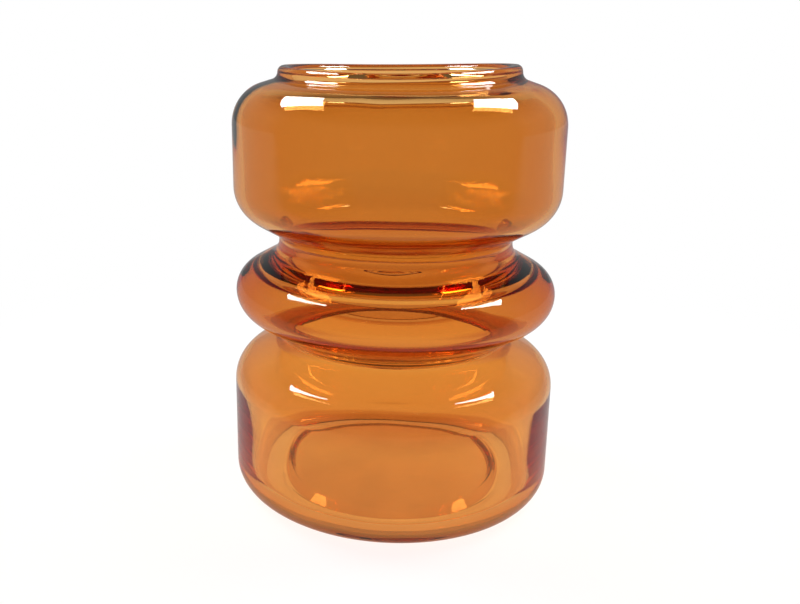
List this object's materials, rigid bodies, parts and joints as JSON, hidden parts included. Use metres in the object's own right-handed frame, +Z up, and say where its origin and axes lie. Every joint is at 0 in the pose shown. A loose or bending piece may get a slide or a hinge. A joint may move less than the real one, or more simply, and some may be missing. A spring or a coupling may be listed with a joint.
{
  "type": "vase",
  "caption": "Round amber glass vase with a wide lower drum, a rounded ring and a wide top drum, two pinched waists and a short collar.",
  "frame": {"origin": "centre of the circle that the foot stands on, in the plane of the table", "axes": "+Z up along the axis of revolution; the vase is the same all round, so X and Y are free"},
  "size_m": [0.1904, 0.1904, 0.25],
  "materials": {
    "amber_glass": "polished clear amber glass, smooth inside and out"
  },
  "bodies": {
    "root": {"glass_body": "amber_glass"}
  },
  "joints": []
}
